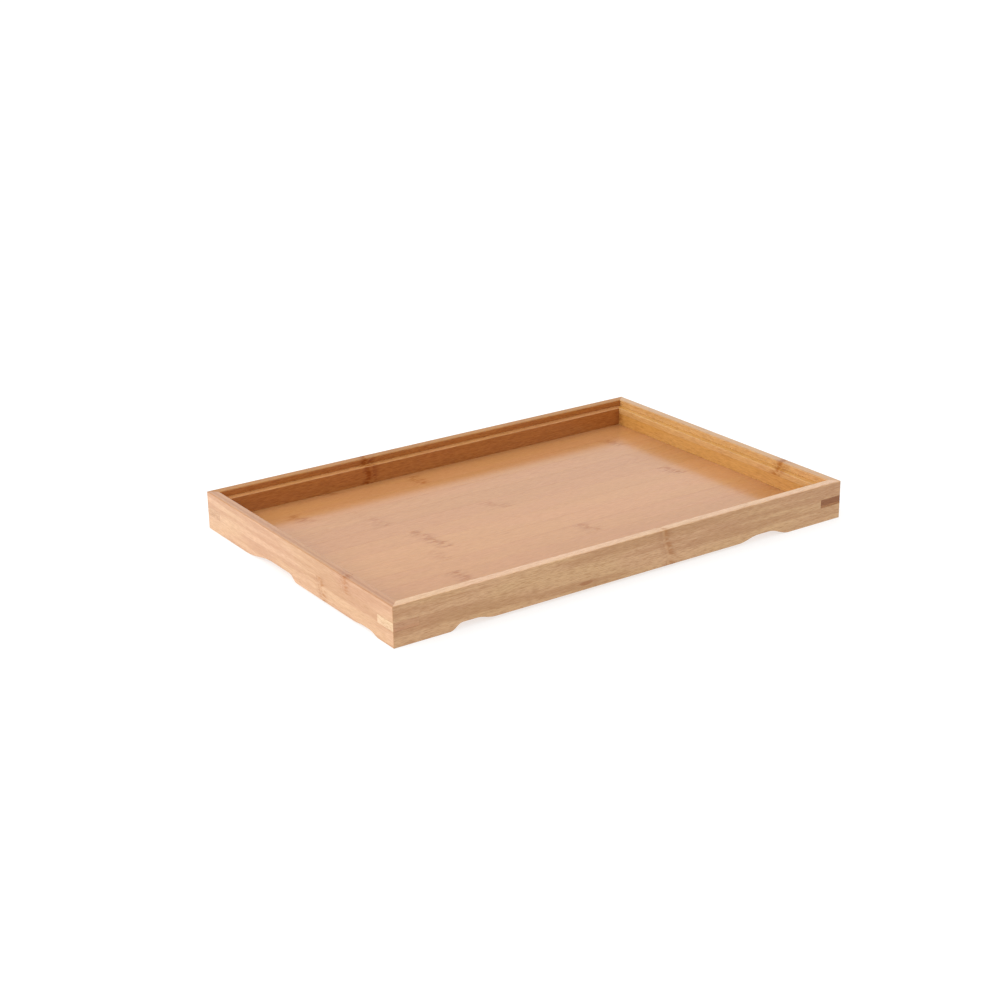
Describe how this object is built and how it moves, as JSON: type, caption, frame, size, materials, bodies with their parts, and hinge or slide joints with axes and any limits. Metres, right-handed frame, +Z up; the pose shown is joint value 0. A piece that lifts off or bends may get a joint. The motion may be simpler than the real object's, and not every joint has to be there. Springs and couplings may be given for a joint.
{
  "type": "serving tray",
  "caption": "Shallow rectangular serving tray of lacquered bamboo: mitred keyed rails with a stepped rim and scalloped feet round a flat base of glued staves.",
  "frame": {"origin": "middle of the tray's footprint, on the plane that its feet stand on", "axes": "+X along the long rails to the right, +Y to the back, +Z up"},
  "size_m": [0.4, 0.27, 0.03],
  "materials": {
    "rail_bamboo": "satin clear lacquer over caramel bamboo",
    "key_bamboo": "satin clear lacquer over bamboo end grain",
    "base_bamboo": "semi-gloss clear lacquer over caramel bamboo"
  },
  "bodies": {
    "root": {"front_rail": "rail_bamboo", "back_rail": "rail_bamboo", "left_rail": "rail_bamboo", "right_rail": "rail_bamboo", "front_left_key": "key_bamboo", "front_right_key": "key_bamboo", "back_left_key": "key_bamboo", "back_right_key": "key_bamboo", "base_stave_01": "base_bamboo", "base_stave_02": "base_bamboo", "base_stave_03": "base_bamboo", "base_stave_04": "base_bamboo", "base_stave_05": "base_bamboo", "base_stave_06": "base_bamboo", "base_stave_07": "base_bamboo", "base_stave_08": "base_bamboo", "base_stave_09": "base_bamboo", "base_stave_10": "base_bamboo", "base_stave_11": "base_bamboo", "base_stave_12": "base_bamboo", "base_stave_13": "base_bamboo"}
  },
  "joints": []
}
